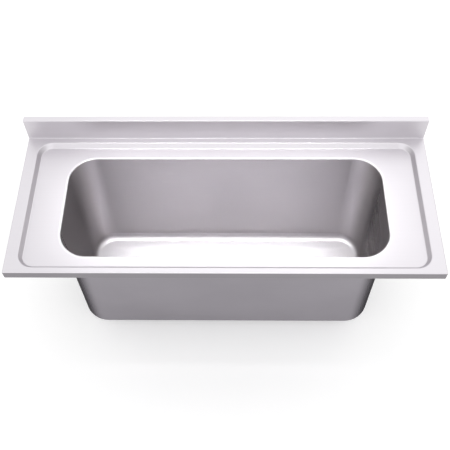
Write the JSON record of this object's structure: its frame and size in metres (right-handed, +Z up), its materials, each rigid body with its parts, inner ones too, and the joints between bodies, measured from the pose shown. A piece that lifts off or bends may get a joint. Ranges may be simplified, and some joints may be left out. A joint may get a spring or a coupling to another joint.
{
  "type": "commercial sink",
  "caption": "Commercial pot-wash sink top: folded steel worktop with raised rim and rear upstand, one deep drawn bowl, basket waste with lift stopper.",
  "frame": {"origin": "centre of the four frame bolts, on the bowl's and the waste's axis, in the plane of the worktop's underside where it rests on its frame", "axes": "+X along the worktop to the right as seen by the person who uses it, +Y to the wall, +Z up"},
  "size_m": [1.5, 0.6, 0.7446],
  "materials": {
    "stainless": "satin",
    "channel_steel": "mill",
    "damping": "matt",
    "polished_steel": "polished",
    "soft_seal": "matt",
    "moulding": "moulded",
    "brass": "turned",
    "nylon": "moulded",
    "knob_plastic": "moulded"
  },
  "bodies": {
    "sink": {"worktop": "stainless", "bowl": "stainless", "earth_tag": "stainless", "upstand_end_left": "stainless", "upstand_end_right": "stainless", "end_channel_left": "channel_steel", "end_channel_right": "channel_steel", "front_channel": "channel_steel", "rear_channel": "channel_steel", "corner_bracket_front_left": "channel_steel", "corner_bracket_front_right": "channel_steel", "corner_bracket_rear_left": "channel_steel", "corner_bracket_rear_right": "channel_steel", "sound_pad_left": "damping", "sound_pad_right": "damping", "sound_pad_back": "damping", "waste_flange": "polished_steel", "clamp_screw": "polished_steel", "flange_seal": "soft_seal", "body_gasket": "soft_seal", "waste_body": "moulding", "insert_nut": "brass"},
    "basket": {"basket_cup": "polished_steel", "grip_bush": "nylon"},
    "stopper": {"stopper_post": "polished_steel", "stopper_rubber": "soft_seal", "backing_washer": "polished_steel", "post_clip": "polished_steel", "stopper_knob": "knob_plastic"}
  },
  "joints": [
    {"name": "basket_lift", "type": "slide", "parent": "sink", "child": "basket", "axis": [0, 0, 1], "range_m": [0, 0.06]},
    {"name": "stopper_lift", "type": "slide", "parent": "basket", "child": "stopper", "axis": [0, 0, 1], "range_m": [0, 0.007]}
  ]
}
